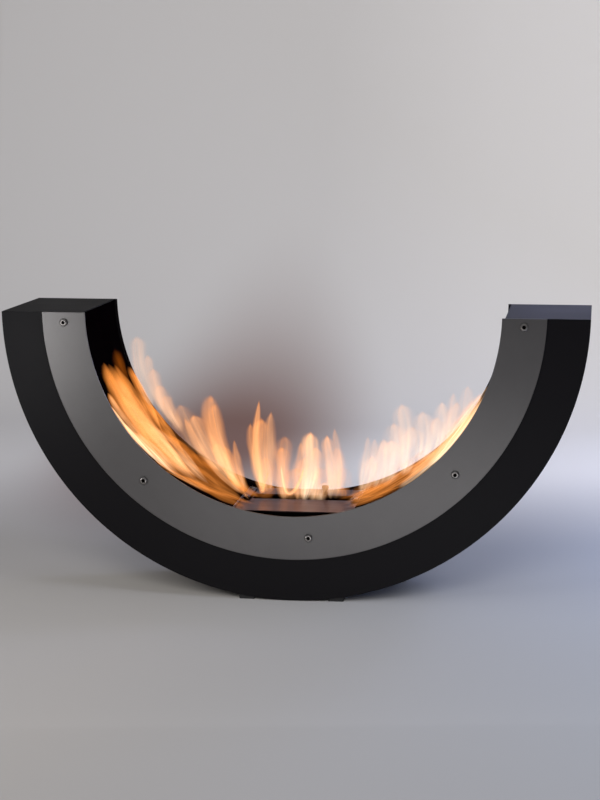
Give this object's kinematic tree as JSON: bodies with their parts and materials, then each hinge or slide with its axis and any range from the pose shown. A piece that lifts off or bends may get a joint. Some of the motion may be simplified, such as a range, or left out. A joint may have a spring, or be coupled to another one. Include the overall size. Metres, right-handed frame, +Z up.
{
  "type": "bioethanol fireplace",
  "caption": "Free-standing half-ring fireplace in black sheet steel with a grey front trim plate and a lift-out bioethanol slot burner in its hollow.",
  "frame": {"origin": "on the floor under the middle of the object's bounding box", "axes": "+Z up, +X to the object's right as seen from the front, +Y from the front trim plate to the rear cover"},
  "size_m": [0.9998, 0.2578, 0.4908],
  "materials": {
    "black_powder_coat": "satin",
    "satin_grey_steel": "satin",
    "screw_steel": "bright",
    "zinc_plated_steel": "zinc plated",
    "burner_stainless": "brushed, heat tinted",
    "black_rubber": "matt",
    "ceramic_fibre": "matt"
  },
  "bodies": {
    "casing": {"front_panel": "black_powder_coat", "rear_cover": "black_powder_coat", "outer_skin": "black_powder_coat", "inner_skin": "black_powder_coat", "left_end_cap": "black_powder_coat", "right_end_cap": "black_powder_coat", "trim_plate": "satin_grey_steel", "trim_screw_1": "screw_steel", "trim_screw_2": "screw_steel", "trim_screw_3": "screw_steel", "trim_screw_4": "screw_steel", "trim_screw_5": "screw_steel", "trim_nut_1": "zinc_plated_steel", "trim_nut_2": "zinc_plated_steel", "trim_nut_3": "zinc_plated_steel", "trim_nut_4": "zinc_plated_steel", "trim_nut_5": "zinc_plated_steel", "rear_standoff_1": "zinc_plated_steel", "rear_standoff_2": "zinc_plated_steel", "rear_standoff_3": "zinc_plated_steel", "rear_standoff_4": "zinc_plated_steel", "rear_standoff_5": "zinc_plated_steel", "rear_screw_1": "screw_steel", "rear_screw_2": "screw_steel", "rear_screw_3": "screw_steel", "rear_screw_4": "screw_steel", "rear_screw_5": "screw_steel", "left_foot_strip": "black_rubber", "right_foot_strip": "black_rubber", "foot_screw_1": "screw_steel", "foot_screw_2": "screw_steel", "foot_screw_3": "screw_steel", "foot_screw_4": "screw_steel", "foot_nut_1": "zinc_plated_steel", "foot_nut_2": "zinc_plated_steel", "foot_nut_3": "zinc_plated_steel", "foot_nut_4": "zinc_plated_steel", "safety_tray": "zinc_plated_steel", "left_burner_rail": "zinc_plated_steel", "right_burner_rail": "zinc_plated_steel"},
    "burner": {"burner_deck": "burner_stainless", "burner_tank": "burner_stainless", "ceramic_wool": "ceramic_fibre", "wool_screen": "burner_stainless", "left_lid_guide": "burner_stainless", "right_lid_guide": "burner_stainless", "guide_rivet_1": "screw_steel", "guide_rivet_2": "screw_steel", "guide_rivet_3": "screw_steel", "guide_rivet_4": "screw_steel"},
    "lid": {"slide_lid": "burner_stainless", "lid_knob": "screw_steel"}
  },
  "joints": [
    {"name": "burner_lift", "type": "slide", "parent": "casing", "child": "burner", "axis": [0, 0, 1], "range_m": [0, 0.42]},
    {"name": "lid_slide", "type": "slide", "parent": "burner", "child": "lid", "axis": [0, -1, 0], "range_m": [0, 0.0395]}
  ]
}
